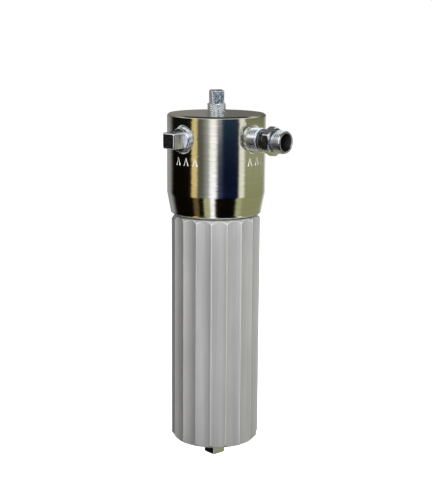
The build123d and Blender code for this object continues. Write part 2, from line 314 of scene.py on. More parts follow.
def finish_surface(obj, turned_by=None, sharp=32, round_r=None):
    """Smooth shading, the turned and edge attributes that the materials read, and true round walls."""
    mesh = obj.data
    back = (turned_by or Matrix.Identity(4)).inverted()
    mesh.shade_smooth()
    mesh.set_sharp_from_angle(angle=math.radians(sharp))
    work = bmesh.new()
    work.from_mesh(mesh)
    # Convex edges sharper than this angle are marked: the bowl's material paints a highlight on them, and
    # the other materials show them as wear.
    edge_value = [0.0] * len(mesh.vertices)
    for edge in work.edges:
        if len(edge.link_faces) == 2 and edge.is_convex and edge.calc_face_angle(0) > EDGE_WEAR_AND_HIGHLIGHT_ANGLE:
            for vertex in edge.verts:
                edge_value[vertex.index] = 1.0
    work.free()
    marked_edges = mesh.attributes.new("edge", "FLOAT", "POINT")
    marked_edges.data.foreach_set("value", edge_value)
    turned = mesh.attributes.new("turned", "FLOAT_VECTOR", "POINT")
    flat = []
    for vertex in mesh.vertices:
        local = back @ vertex.co
        flat += [math.hypot(local.x, local.y), math.atan2(local.y, local.x), local.z]
    turned.data.foreach_set("vector", flat)
    if round_r:
        normals = [tuple(n.vector) for n in mesh.corner_normals]
        for polygon in mesh.polygons:
            corners = [mesh.vertices[v].co for v in polygon.vertices]
            on_wall = all(abs(math.hypot(c.x, c.y) - round_r) < 0.02 for c in corners)
            if on_wall and abs(polygon.normal.z) < 0.05:
                for index, corner in zip(polygon.loop_indices, corners):
                    normals[index] = tuple(Vector((corner.x, corner.y, 0)).normalized())
        mesh.normals_split_custom_set(normals)
    mesh.transform(drawing_to_frame)
    mesh.update()


def fit(obj, body, slot_name, *nodes, finish=None):
    """Puts a piece on its body, in place of the CAD nodes it stands for. Its finish is the material named
    after its slot, unless it has one of its own."""
    obj.data.materials.clear()
    obj.data.materials.append(MATERIALS[finish or slot_name])
    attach(obj, body)
    if nodes:
        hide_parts(*nodes)
    return obj


# ---- Materials ----

CHROMATE = (0.78, 0.78, 0.57)


class Nodes:
    """A material's node tree, with short ways to add nodes to it."""

    def __init__(self, name):
        self.material = bpy.data.materials.new(name)
        self.material.use_nodes = True
        self.tree = self.material.node_tree

    def node(self, kind, **settings):
        made = self.tree.nodes.new(kind)
        for key, value in settings.items():
            setattr(made, key, value)
        return made

    def join(self, source, target):
        self.tree.links.new(source, target)

    def feed(self, socket, value):
        """Gives a socket a number, a colour or what another node puts out."""
        if isinstance(value, (int, float)):
            socket.default_value = value
        elif isinstance(value, tuple):
            socket.default_value = (*value, 1)
        else:
            self.join(value, socket)

    def maths(self, operation, *values):
        made = self.node("ShaderNodeMath", operation=operation)
        for socket, value in zip(made.inputs, values):
            self.feed(socket, value)
        return made.outputs[0]

    def times(self, first, second):
        return self.maths("MULTIPLY", first, second)

    def plus(self, first, second):
        return self.maths("ADD", first, second)

    def parts(self, vector):
        """The three numbers of a vector."""
        split = self.node("ShaderNodeSeparateXYZ")
        self.join(vector, split.inputs[0])
        return split.outputs

    def spread(self, value, low, high, to_low=0, to_high=1, smooth=False):
        """Maps a value from one range to another, held at the ends."""
        made = self.node("ShaderNodeMapRange", interpolation_type="SMOOTHSTEP" if smooth else "LINEAR")
        for socket, number in zip(("Value", "From Min", "From Max", "To Min", "To Max"),
                                  (value, low, high, to_low, to_high)):
            self.feed(made.inputs[socket], number)
        return made.outputs["Result"]

    def mix(self, amount, first, second):
        """A colour that goes from the first to the second as the amount goes from 0 to 1."""
        made = self.node("ShaderNodeMix", data_type="RGBA")
        for number, value in ((0, amount), (6, first), (7, second)):
            self.feed(made.inputs[number], value)
        return made.outputs[2]


class Shader(Nodes):
    """A surface, with the patterns and settings that these materials share."""

    def __init__(self, name, metallic=0.0):
        super().__init__(name)
        self.surface = self.tree.nodes["Principled BSDF"]
        self.surface.inputs["Metallic"].default_value = metallic

    def vector(self, operation, *values):
        """A vector worked out from others, each three numbers or what another node puts out."""
        made = self.node("ShaderNodeVectorMath", operation=operation)
        for socket, value in zip(made.inputs, values):
            if isinstance(value, tuple):
                socket.default_value = value
            else:
                self.join(value, socket)
        return made.outputs[0]

    def turned(self, *scales):
        """The turned coordinates of a lathe piece: radius in millimetres, angle and height, each scaled."""
        read = self.node("ShaderNodeAttribute", attribute_name="turned").outputs["Vector"]
        return self.vector("MULTIPLY", read, scales) if scales else read

    def place(self, *scales):
        """The piece's own coordinates, each scaled."""
        return self.vector("MULTIPLY", self.node("ShaderNodeTexCoord").outputs["Object"], scales)

    def edge(self):
        return self.node("ShaderNodeAttribute", attribute_name="edge").outputs["Fac"]

    def noise(self, vector, detail=3.0, roughness=0.55):
        made = self.node("ShaderNodeTexNoise")
        settings = {"Scale": 1.0, "Detail": detail, "Roughness": roughness, "Vector": vector}
        for socket, value in settings.items():
            self.feed(made.inputs[socket], value)
        return made.outputs["Fac"]

    def stamped(self, wall_r, low, high):
        """1 where a turned piece has been pressed in below its outer wall, between two heights."""
        radius, _, height = self.parts(self.turned())
        deep = self.spread(radius, wall_r - 0.12, wall_r - 0.03, 1, 0)
        outside = self.spread(radius, wall_r - 1.0, wall_r - 0.9)
        above = self.spread(height, low, low + 0.5)
        below = self.spread(height, high - 0.5, high, 1, 0)
        return self.times(self.times(deep, outside), self.times(above, below))

    def lean(self, value, amount):
        """The surface's direction, leaned round the long axis by a value that is 0.5 on average."""
        surface = self.node("ShaderNodeNewGeometry").outputs["Normal"]
        round_it = self.vector("CROSS_PRODUCT", (0, 0, 1), surface)
        step = self.vector("MULTIPLY", round_it, self.spread(value, 0, 1, -amount, amount))
        return self.vector("NORMALIZE", self.vector("ADD", surface, step))

    def bump(self, height, strength, distance, start=None):
        made = self.node("ShaderNodeBump")
        if start:
            self.join(start, made.inputs["Normal"])
        made.inputs["Strength"].default_value = strength
        made.inputs["Distance"].default_value = distance
        self.join(height, made.inputs["Height"])
        self.join(made.outputs["Normal"], self.surface.inputs["Normal"])

    def colour(self, value):
        self.join(value, self.surface.inputs["Base Color"])

    def rough(self, value):
        self.join(value, self.surface.inputs["Roughness"])

    def metal(self, value):
        self.join(value, self.surface.inputs["Metallic"])

    def grained(self, grain, dark, light, smoothest, roughest, strength, distance):
        """One pattern that sets the colour, the roughness and the bump."""
        self.colour(self.mix(grain, dark, light))
        self.rough(self.spread(grain, 0.3, 0.7, smoothest, roughest))
        self.bump(grain, strength, distance)
        return self.material


def chromated_steel():
    """Turned steel with a thin yellow chromate: fine rings all over, faint olive and gold patches, rings
    that each lean a little differently, and a painted highlight, near-white and matt, in the stamped marks."""
    s = Shader("chromated_steel", metallic=1.0)
    fine = s.noise(s.turned(9, 0.05, 9), detail=2)
    rings = s.noise(s.turned(1.9, 0.12, 1.9), detail=4, roughness=0.65)
    patches = s.noise(s.place(38, 38, 38), detail=2)
    film = s.mix(s.spread(patches, 0.38, 0.62), (0.84, 0.83, 0.68), CHROMATE)
    lined = s.mix(s.spread(rings, 0.35, 0.65, 0, 0.22), film, (0.42, 0.41, 0.30))
    # Edges worn to bright metal.
    marked_edges = s.mix(s.times(s.edge(), 0.6), lined, (0.95, 0.94, 0.88))
    stamped = s.stamped(head_r, taper_top_z, head_top_z - head_top_chamfer)
    # Painted highlight: the stamped marks are coloured near-white, less metallic and rougher, so they look
    # lit.
    s.colour(s.mix(stamped, marked_edges, (0.98, 0.98, 0.95)))
    s.rough(s.plus(s.spread(rings, 0.3, 0.7, 0.07, 0.14), s.times(stamped, 0.4)))
    s.metal(s.spread(stamped, 0, 1, 1, 0.25))
    leaning = s.lean(s.noise(s.turned(0.5, 2.2, 2.6), detail=3, roughness=0.7), 0.05)
    s.bump(s.plus(fine, s.times(rings, 0.6)), 0.25, 0.00001, leaning)
    return s.material


def zinc_plated_steel(name="zinc_plated_steel", battered=0.03, shaded_bore_r=0, root_r=0):
    """Bright zinc on turned and forged steel: scratches, brighter edges, and dull patches where it has
    been knocked, more of them on a battered piece. Inside the bore radius that it is given, painted
    shade keeps it dark, and it is rougher there; painted shade also darkens the roots of a thread
    whose root is at root_r."""
    s = Shader(name, metallic=1.0)
    spots = s.noise(s.place(900, 900, 900), detail=3)
    scratches = s.noise(s.place(2600, 300, 260), detail=2)
    clouds = s.noise(s.place(160, 160, 160), detail=2)
    dents = s.noise(s.place(620, 620, 380), detail=4, roughness=0.7)
    knocks = s.times(s.spread(dents, 0.4, 0.6), battered)
    base = s.mix(s.spread(clouds, 0.4, 0.6), (0.90, 0.92, 0.94), (0.76, 0.78, 0.81))
    marked = s.mix(s.spread(scratches, 0.55, 0.7, 0, 0.35), base, (0.98, 0.98, 0.98))
    knocked = s.mix(knocks, marked, (0.60, 0.60, 0.68))
    plated = s.mix(s.times(s.edge(), 0.7), knocked, (0.99, 0.99, 0.99))
    roughness = s.plus(s.spread(spots, 0.3, 0.7, 0.10, 0.24), s.times(knocks, 0.3))
    radius = s.parts(s.turned())["X"]
    # Painted shade: the colour is near-black at the thread's root radius, in its grooves.
    if root_r:
        above = s.spread(radius, root_r - 0.2, root_r, 0, 0.8)
        below = s.spread(radius, root_r + 0.1, root_r + 0.5, 1, 0)
        plated = s.mix(s.times(above, below), plated, (0.10, 0.10, 0.11))
    # Painted shade: inside the bore radius the colour is near-black, and the surface rougher.
    if shaded_bore_r:
        inside = s.spread(radius, shaded_bore_r - 0.4, shaded_bore_r, 1, 0)
        plated = s.mix(inside, plated, (0.07, 0.07, 0.075))
        roughness = s.plus(roughness, s.times(inside, 0.35))
    s.colour(plated)
    s.metal(s.spread(knocks, 0, 1, 1, 0.35))
    s.rough(roughness)
    s.bump(s.plus(s.plus(spots, scratches), knocks), 0.12, 0.00002)
    return s.material


def battered_zinc():
    """The same zinc on the top plug, which a wrench has marked."""
    return zinc_plated_steel("battered_zinc", 0.3)


def bored_zinc():
    """The same zinc on the nipple, with painted shade in its bore and in the roots of its hose thread."""
    return zinc_plated_steel("bored_zinc", shaded_bore_r=cone_seat_r, root_r=hose_thread_r - HOSE_THREAD[1])


def satin_aluminium():
    """Drawn and anodised aluminium: an even grey with fine lines along the bar, and paler ridges and edges
    that are a painted highlight.
    """
    s = Shader("satin_aluminium", metallic=0.45)
    lines = s.noise(s.place(1500, 1500, 12), detail=3)
    grain = s.noise(s.place(2600, 2600, 2600), detail=2)
    clouds = s.noise(s.place(30, 30, 12), detail=3)
    base = s.mix(s.spread(clouds, 0.35, 0.65), (0.53, 0.53, 0.525), (0.61, 0.61, 0.605))
    lined = s.mix(s.spread(lines, 0.3, 0.7, 0, 0.4), base, (0.37, 0.37, 0.368))
    # Painted highlight: the ridges and other convex edges are coloured paler, as crests that catch the
    # light.
    s.colour(s.mix(s.times(s.edge(), 0.85), lined, (0.92, 0.92, 0.92)))
    s.rough(s.spread(grain, 0.3, 0.7, 0.42, 0.58))
    s.bump(s.plus(s.times(lines, 0.7), grain), 0.3, 0.00003)
    return s.material


def stainless_steel():
    """Machined stainless: fine lines round the bar."""
    s = Shader("stainless_steel", metallic=1.0)
    lines = s.noise(s.place(700, 700, 2400), detail=3)
    clouds = s.noise(s.place(90, 90, 90), detail=2)
    base = s.mix(s.spread(clouds, 0.4, 0.6), (0.62, 0.61, 0.60), (0.72, 0.71, 0.69))
    s.colour(s.mix(s.spread(lines, 0.4, 0.7, 0, 0.4), base, (0.45, 0.44, 0.43)))
    s.rough(s.spread(lines, 0.3, 0.7, 0.22, 0.38))
    s.bump(lines, 0.2, 0.00002)
    return s.material


def spring_steel():
    """Drawn wire with a little scale left on it."""
    s = Shader("spring_steel", metallic=1.0)
    scale = s.noise(s.place(420, 420, 420), detail=4)
    s.colour(s.mix(s.spread(scale, 0.35, 0.65), (0.30, 0.30, 0.32), (0.46, 0.45, 0.44)))
    s.rough(s.spread(scale, 0.3, 0.7, 0.28, 0.42))
    s.bump(scale, 0.2, 0.00002)
    return s.material


def cap_aluminium():
    """Pressed aluminium with faint rings and brighter edges."""
    s = Shader("cap_aluminium", metallic=0.9)
    rings = s.noise(s.turned(5, 0.1, 5), detail=3)
    base = s.mix(s.spread(rings, 0.35, 0.65), (0.70, 0.70, 0.71), (0.60, 0.60, 0.61))
    s.colour(s.mix(s.times(s.edge(), 0.6), base, (0.9, 0.9, 0.9)))
    s.rough(s.spread(rings, 0.3, 0.7, 0.3, 0.42))
    s.bump(rings, 0.25, 0.00002)
    return s.material


def nitrile_rubber():
    """Black moulded rubber, slightly grainy."""
    s = Shader("nitrile_rubber")
    grain = s.noise(s.place(1500, 1500, 1500))
    return s.grained(grain, (0.012, 0.012, 0.013), (0.03, 0.03, 0.032), 0.35, 0.5, 0.2, 0.00003)


def ptfe():
    """White turned plastic."""
    s = Shader("ptfe")
    grain = s.noise(s.place(400, 400, 1800))
    return s.grained(grain, (0.80, 0.80, 0.77), (0.90, 0.90, 0.88), 0.4, 0.52, 0.15, 0.00002)


def potting_resin():
    """Brown cast resin, cloudy and glossy."""
    s = Shader("potting_resin")
    clouds = s.noise(s.place(240, 240, 240), detail=4)
    return s.grained(clouds, (0.09, 0.075, 0.06), (0.16, 0.13, 0.10), 0.12, 0.25, 0.2, 0.0001)


def microfibre():
    """White matted glass fibre."""
    s = Shader("microfibre")
    matted = s.noise(s.place(1400, 1400, 500), detail=5, roughness=0.7)
    return s.grained(matted, (0.78, 0.78, 0.75), (0.95, 0.95, 0.93), 0.85, 0.95, 0.8, 0.0002)


def woven_mesh():
    """Stainless wire cloth, drawn as a weave on the tube."""
    s = Shader("woven_mesh", metallic=1.0)
    wires = s.noise(s.place(3000, 3000, 90), detail=1)
    wefts = s.noise(s.place(60, 60, 3000), detail=1)
    weave = s.plus(wires, wefts)
    s.colour(s.mix(s.spread(weave, 0.8, 1.2), (0.30, 0.30, 0.30), (0.68, 0.67, 0.66)))
    s.rough(s.spread(weave, 0.8, 1.2, 0.25, 0.5))
    s.bump(weave, 0.7, 0.0001)
    return s.material


def drain_foam():
    """Open-cell foam: pale struts, and painted shade that darkens the round cells between them."""
    s = Shader("drain_foam")
    cells = s.node("ShaderNodeTexVoronoi")
    cells.inputs["Scale"].default_value = 1.0
    s.join(s.place(850, 850, 850), cells.inputs["Vector"])
    depth = s.spread(cells.outputs["Distance"], 0.15, 0.62)
    clouds = s.noise(s.place(60, 60, 60), detail=3)
    strut = s.mix(s.spread(clouds, 0.35, 0.65), (0.78, 0.62, 0.26), (0.70, 0.52, 0.19))
    # Painted shade: the colour darkens towards each cell's middle, where the hollow is deepest.
    s.colour(s.mix(depth, (0.24, 0.16, 0.05), strut))
    s.rough(s.spread(depth, 0, 1, 0.95, 0.75))
    s.bump(depth, 0.9, 0.0004)
    return s.material


MATERIALS = {made.__name__: made() for made in (
    chromated_steel, zinc_plated_steel, battered_zinc, bored_zinc, satin_aluminium, stainless_steel,
    spring_steel, cap_aluminium, nitrile_rubber, ptfe, potting_resin, microfibre, woven_mesh, drain_foam)}


# ---- Head ----

def port_cutter(angle, drill_end, threaded):
    """The tool that cuts one side port: drilling, pipe bore with or without thread, and countersink."""
    major = port_r + (PIPE_THREAD[1] / 2 if threaded else 0)
    sink_top = port_face + sink_width + 1
    wall = stretch((major, port_face - port_depth), (major, port_face), PIPE_THREAD[0] / thread_steps)
    section = [(0.5, drill_end), (port_drill_r, drill_end), (port_drill_r, port_face - port_depth)]
    section += [p[:2] for p in wall]
    section += [(port_r + sink_width + 1, sink_top), (0.5, sink_top)]
    cut = None
    if threaded:
        cut = thread_form(PIPE_THREAD, major, port_face - port_depth, port_face, fade_low=True)
    return lathe("cutter", section, closed=False, columns=128, cut=cut, turned_by=lay(angle))


def passage_cutter(angle):
    """The drill that joins an outlet to the space over the element."""
    turn = Matrix.Rotation(math.radians(angle), 4, "Z") @ Matrix.Translation((outlet_passage_at, 0, 0))
    section = [(0.5, ceiling_z - 1), (outlet_passage_r, ceiling_z - 1), (outlet_passage_r, 0.5), (0.5, 0.5)]
    return lathe("cutter", section, closed=False, columns=48, turned_by=turn)


def mark_cutter():
    """The stamp of three chevrons under each side port: they point to an outlet and away from the inlet."""
    points, faces = [], []
    half = mark_width / 2
    notch = mark_stroke * mark_height / half / 2
    step = math.degrees(mark_spacing / head_r)
    for port_angle, up in ((side_plug_angle, 1), (nipple_angle, 1), (inlet_angle, -1)):
        for place in (-1, 0, 1):
            turn = Matrix.Rotation(math.radians(port_angle + mark_offset + place * step), 4, "Z")
            top = up * mark_height / 2
            arrow = [(0, top), (half, -top), (half - mark_stroke, -top), (0, top - up * notch),
                     (mark_stroke - half, -top), (-half, -top)]
            first = len(points)
            for depth, draft in ((head_r - mark_depth, 0.85), (head_r + 1, 1.3)):
                points += [tuple(turn @ Vector((depth, y * draft, mark_z + z * (1 + (draft - 1) / 3))))
                           for y, z in arrow]
            sides = [(k, (k + 1) % 6, (k + 1) % 6 + 6, k + 6) for k in range(6)]
            ends = [(0, 1, 2, 3), (0, 3, 4, 5), (9, 8, 7, 6), (11, 10, 9, 6)]
            faces += [tuple(first + k for k in face) for face in sides + ends]
    return new_object("cutter", points, faces)


def build_head():
    """The turned head, with its ports, passages and stamped marks cut out of it."""
    top_face = head_top_z - sink_width
    bore = stretch((thread_bore_r, head_bottom_z + 1.1), (thread_bore_r, thread_bore_top_z),
                   NECK_THREAD[0] / thread_steps)
    section = soften([
        (top_port_r + sink_width, head_top_z, 0.15), (head_r - head_top_chamfer, head_top_z),
        (head_r, head_top_z - head_top_chamfer), (head_r, taper_top_z, 0.5), (taper_end_r, taper_end_z),
        (taper_end_r, head_lip_z, 0.15), (head_lip_r, head_bottom_z, 0.15),
        (thread_bore_r + 1, head_bottom_z, 0.15), *bore,
        (seal_bore_r, thread_bore_top_z + thread_bore_r - seal_bore_r, 0.1), (seal_bore_r, ceiling_z, 0.15),
        (spigot_bore_r, ceiling_z, 0.1), (spigot_bore_r, spigot_bore_top_z, 0),
        (centre_bore_r, spigot_bore_top_z, 0), (centre_bore_r, top_face - top_port_depth, 0),
        (top_port_r, top_face - top_port_depth, 0), (top_port_r, top_face, 0),
    ])
    cut = thread_form(NECK_THREAD, thread_bore_r, head_bottom_z + 1, thread_bore_top_z, fade_high=True)
    head = lathe("head_turned", section, columns=256, cut=cut)
    tools = [port_cutter(inlet_angle, 0.5, True), port_cutter(nipple_angle, outlet_drill_end, False),
             port_cutter(side_plug_angle, outlet_drill_end, False), passage_cutter(nipple_angle),
             passage_cutter(side_plug_angle), mark_cutter()]
    subtract(head, tools)
    finish_surface(head, sharp=24, round_r=head_r)
    fit(head, "head", "chromated_steel", "head")


# ---- Plugs and nipple ----

def build_plug(name, node, body, finish, size, socket_face, exposed, turned, turned_by=None):
    """A square-head pipe plug, drawn along +Z from the inner end of its thread to its head. Some of its
    thread is exposed past the countersink, and its square is turned some degrees."""
    thread, pitch_r, square, head_length = size
    thread_top = socket_face + sink_width + exposed
    inner_end = socket_face - plug_engaged
    crest = pitch_r + thread[1] / 2 - CREST_TRIM
    taper = 1 / 32
    edge = 0.8
    top_r = crest + (thread_top - socket_face) * taper
    wall = stretch((crest - plug_engaged * taper, inner_end + edge), (top_r, thread_top - edge),
                   thread[0] / thread_steps)
    round_rows = soften([(0.5, inner_end), (crest - plug_engaged * taper - edge, inner_end, 0.15), *wall,
                         (top_r - edge, thread_top, 0.2), (square / 2 * 0.9, thread_top, 0)], closed=False)
    cut = thread_form(thread, (crest + top_r) / 2, inner_end, thread_top - 0.2)
    angles = round_angles(plug_columns)
    rows = turned_rows(round_rows[:-1], angles, cut)
    tip = thread_top + head_length
    square_rows = [(0, thread_top), (0, thread_top + 0.3), (0, tip - 1.1), (0.05, tip - 0.85),
                   (0.5, tip - 0.3), (0.75, tip - 0.08), (1.0, tip), (1.3, tip)]
    for inset, height in square_rows:
        corner = 0.45 + 0.2 * inset
        rows.append([(polygon_radius(square / 2 - inset, 4, turned, corner, a), a, height) for a in angles])
    plug = new_object(name, *skin(round_points(rows), closed=False), turned_by)
    finish_surface(plug, turned_by, sharp=40)
    return fit(plug, body, "zinc_plated_steel", node, finish=finish)


def build_nipple():
    """Pipe thread, neck, hex and hose thread, drawn along +Z from the inner end."""
    edge = 0.7
    crest = port_r + PIPE_THREAD[1] / 2 - CREST_TRIM
    top_r = crest + 0.2
    pipe_wall = stretch((crest - 0.3, nipple_inner_end + edge), (top_r, nipple_thread_end - edge),
                        PIPE_THREAD[0] / thread_steps)
    relief = 1.1
    hose_wall = stretch((hose_thread_r, nipple_hex_end + relief + 0.6), (hose_thread_r, nipple_tip - 0.9),
                        HOSE_THREAD[0] / thread_steps)
    hose_root = hose_thread_r - HOSE_THREAD[1]
    pipe_cut = thread_form(PIPE_THREAD, crest, nipple_inner_end, nipple_thread_end - 0.2)
    hose_cut = thread_form(HOSE_THREAD, hose_thread_r, nipple_hex_end + relief, nipple_tip, fade_low=True)
    cone_depth = (cone_seat_r - nipple_bore_r) / math.tan(cone_half_angle)
    low_rows = soften([(nipple_bore_r, nipple_inner_end, 0), (crest - 0.3 - edge, nipple_inner_end, 0.15),
                       *pipe_wall, (top_r - edge, nipple_thread_end, 0.2),
                       (nipple_neck_r, nipple_thread_end, 0.5), (nipple_neck_r, nipple_neck_end, 0.5),
                       (nipple_hex_af / 2 * 0.8, nipple_neck_end, 0)], closed=False)
    high_rows = soften([(nipple_hex_af / 2 * 0.95, nipple_hex_end, 0), (hose_root, nipple_hex_end, 0.3),
                        (hose_root, nipple_hex_end + relief, 0.1), *hose_wall,
                        (hose_root, nipple_tip, 0.15), (cone_seat_r, nipple_tip, 0.12),
                        (nipple_bore_r, nipple_tip - cone_depth, 0.15)], closed=False)
    angles = round_angles(plug_columns)
    rows = turned_rows(low_rows[:-1], angles, pipe_cut)
    corner_r = nipple_hex_af / math.sqrt(3)
    chamfer, chamfer_steps, chamfer_slope = 1.3, 8, 0.6
    hex_length = nipple_hex_end - nipple_neck_end
    heights = [chamfer * chamfer_slope * i / chamfer_steps for i in range(chamfer_steps + 1)]
    for offset in heights + [hex_length - h for h in reversed(heights)]:
        cone = corner_r - chamfer + min(offset, hex_length - offset) / chamfer_slope
        rows.append([(min(polygon_radius(nipple_hex_af / 2, 6, 0, 0.12, a - math.pi / 6), cone), a,
                      nipple_neck_end + offset) for a in angles])
    rows += turned_rows(high_rows[1:], angles, hose_cut)
    nipple = new_object("outlet_nipple_turned", *skin(round_points(rows), closed=True), lay(nipple_angle))
    finish_surface(nipple, lay(nipple_angle), sharp=34)
    fit(nipple, "head", "zinc_plated_steel", "outlet_nipple", finish="bored_zinc")


# ---- Bowl ----

def flute_columns():
    """Angles and radii round the fluted bar: close together at each ridge, wider across each flute."""
    step = TURN / flute_count
    half_flat = ridge_flat / 2 / bowl_r
    half_chord = bowl_r * math.sin(step / 2 - half_flat)
    rise = bowl_r * math.cos(step / 2 - half_flat) - (bowl_r - flute_depth)
    arc_r = (half_chord ** 2 + rise ** 2) / (2 * rise)
    centre = bowl_r - flute_depth + arc_r
    across = 13
    columns = []
    for flute in range(flute_count):
        ridge = math.radians(first_ridge) + flute * step
        columns.append((ridge, bowl_r))
        for i in range(across):
            share = (1 - math.cos(math.pi * i / (across - 1))) / 2
            swing = (share - 0.5) * (step - 2 * half_flat)
            radius = centre * math.cos(swing) - math.sqrt(arc_r ** 2 - (centre * math.sin(swing)) ** 2)
            columns.append((ridge + step / 2 + swing, min(bowl_r, radius)))
    return columns


def build_bowl():
    """Neck, shoulder, fluted wall and floor from the outside, then the bores from below."""
    neck_wall = stretch((neck_thread_r, neck_thread_top_z - 0.6), (neck_thread_r, shoulder_z + 1.2),
                        NECK_THREAD[0] / thread_steps)
    drain_face = bowl_bottom_z + sink_width
    drain_major = port_r + PIPE_THREAD[1] / 2
    drain_wall = stretch((drain_major, drain_face), (drain_major, drain_face + drain_port_depth),
                         PIPE_THREAD[0] / thread_steps)
    relief_r = neck_thread_r - NECK_THREAD[1]
    outer = soften([
        (neck_bore_r, neck_top_z, 0.15), (neck_land_r - 1, neck_top_z, 0.15),
        (neck_land_r, neck_top_z - 1, 0.15), (neck_land_r, gland_top_z, 0.1), (gland_r, gland_top_z, 0.1),
        (gland_r, gland_bottom_z, 0.1), (neck_land_r, gland_bottom_z, 0.1),
        (neck_land_r, neck_thread_top_z, 0.1), *neck_wall,
        (relief_r, shoulder_z + 0.8, 0.1), (relief_r, shoulder_z, 0.15), (shoulder_r - 1, shoulder_z, 0),
    ], closed=False)
    inner = soften([
        (bowl_r - bowl_bottom_chamfer - 4, bowl_bottom_z, 0), (port_r + sink_width, bowl_bottom_z, 0.15),
        *drain_wall, (drain_drill_r, drain_face + drain_port_depth, 0), (drain_drill_r, sump_floor_z, 0.2),
        (sump_r, sump_floor_z, 0.5), (sump_r, baffle_ledge_z, 0.15), (bowl_bore_r, baffle_ledge_z, 0.15),
        (bowl_bore_r, neck_bore_end_z - bowl_bore_r + neck_bore_r, 0.3), (neck_bore_r, neck_bore_end_z, 0.3),
        (neck_bore_r, neck_top_z - 0.5, 0),
    ], closed=False)
    neck_cut = thread_form(NECK_THREAD, neck_thread_r, shoulder_z + 0.6, neck_thread_top_z)
    drain_cut = thread_form(PIPE_THREAD, drain_major, drain_face, drain_face + drain_port_depth)
    columns = flute_columns()
    angles = [a for a, _ in columns]
    slope = (ridge_top_z - shoulder_z) / (bowl_r - shoulder_r)
    inside_corner = bowl_r - bowl_bottom_chamfer
    rows = turned_rows(outer, angles, neck_cut)
    ease = 0.18
    for share in (0.0, 0.03, 0.5, 0.94, 1.0):
        rows.append([(shoulder_r + (side - shoulder_r) * share - (ease * 0.3 if share == 1 else 0), a,
                      shoulder_z + slope * (side - shoulder_r) * share) for a, side in columns])
    top_drop = ease * 1.5
    low_rise = bowl_bottom_z - inside_corner
    wall_steps = 12
    for share in [i / wall_steps for i in range(wall_steps + 1)]:
        rows.append([(side, a, (shoulder_z + slope * (side - shoulder_r) - top_drop) * (1 - share)
                      + (low_rise + side + top_drop) * share) for a, side in columns])
    for share in (0.0, 0.12, 0.5, 0.9, 1.0):
        rows.append([(side + (inside_corner - side) * share - (ease * 0.3 if share == 0 else 0), a,
                      low_rise + side + (inside_corner - side) * share) for a, side in columns])
    rows += turned_rows([(inside_corner - 0.4, bowl_bottom_z)], angles)
    rows += turned_rows(inner, angles, drain_cut)
    bowl = new_object("bowl_fluted", *skin(round_points(rows), closed=True))
    finish_surface(bowl, sharp=30)
    fit(bowl, "bowl", "satin_aluminium", "bowl")


# ---- Element and spring ----

def build_caps():
    """The two pressed end caps of the element."""
    under_z = element_top_z - cap_disc
    upper = lathe("element_upper_cap_pressed", soften([
        (socket_r + 0.8, element_top_z), (cap_outer_r - 0.8, element_top_z, 0.3),
        (cap_outer_r, element_top_z - 0.8, 0.3), (cap_outer_r, element_top_z - cap_skirt, 0.15),
        (cap_inner_r, element_top_z - cap_skirt, 0.15), (cap_inner_r, under_z), (hub_r, under_z),
        (hub_r, element_top_z - hub_length, 0.15), (socket_r, element_top_z - hub_length, 0.15),
        (socket_r, element_top_z - 0.8)]))
    finish_surface(upper)
    fit(upper, "element", "cap_aluminium", "element_upper_cap")
    over_z = element_bottom_z + cap_disc
    boss_z = element_bottom_z - spring_boss_length
    lower = lathe("element_lower_cap_pressed", soften([
        (0.5, boss_z), (spring_boss_r - 0.8, boss_z, 0.3), (spring_boss_r, boss_z + 0.8, 0.3),
        (spring_boss_r, element_bottom_z, 0.3), (cap_outer_r - 0.8, element_bottom_z, 0.3),
        (cap_outer_r, element_bottom_z + 0.8, 0.3), (cap_outer_r, element_bottom_z + cap_skirt, 0.15),
        (cap_inner_r, element_bottom_z + cap_skirt, 0.15), (cap_inner_r, over_z), (0.5, over_z)],
        closed=False), closed=False)
    finish_surface(lower)
    fit(lower, "element", "cap_aluminium", "element_lower_cap")


def build_foam_sleeve():
    """The drain sock: a tube of foam, softly uneven between the caps that hold its ends."""
    low, high = foam_low.z / MM, foam_high.z / MM
    hold = cap_skirt - cap_disc
    columns, step, sag = 144, 1.2, 0.3
    angles = round_angles(columns)
    rows = []
    for radius, height, _ in stretch((foam_r, low), (foam_r, high), step):
        free = min(1.0, max(0.0, (min(height - low, high - height) - hold) / 6))
        row = []
        for a in angles:
            spot = Vector((math.cos(a) * 2.2, math.sin(a) * 2.2, height * 0.12))
            r = radius - free * sag * (0.5 + 0.5 * noise.noise(spot)) - 0.03
            row.append((r, a, height))
        rows.append(row)
    rows += turned_rows([(foam_inner_r, high), (foam_inner_r, low)], angles)
    sleeve = new_object("foam_sleeve_open_cell", *skin(round_points(rows), closed=True))
    finish_surface(sleeve)
    fit(sleeve, "element", "drain_foam", "foam_sleeve")


def build_spring():
    """A compression spring with closed, ground ends."""
    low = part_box("quiet_zone_baffle")[1].z / MM + 0.05
    high = element_bottom_z - 0.05
    wire_steps, ring_steps = 40, 14
    dead = 0.8
    total = spring_turns + 2 * dead
    rows = []
    for i in range(int(total * wire_steps) + 1):
        turn = i / wire_steps
        live = min(max(turn - dead, 0), spring_turns) / spring_turns
        lead = spring_wire_r * 1.02 * min(turn / dead, 1)
        tail = spring_wire_r * 1.02 * min((total - turn) / dead, 1)
        ease = live * live * (3 - 2 * live)
        height = (low + lead) * (1 - ease) + (high - tail) * ease
        angle = TURN * turn
        row = []
        for k in range(ring_steps):
            across = TURN * k / ring_steps
            r = spring_mean_r + spring_wire_r * math.cos(across)
            z = min(high, max(low, height + spring_wire_r * math.sin(across)))
            row.append((r, angle, z))
        rows.append(row)
    spring = new_object("element_spring_coiled", *skin(round_points(rows), closed=False))
    finish_surface(spring)
    fit(spring, "spring", "spring_steel", "element_spring")
    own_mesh(spring)


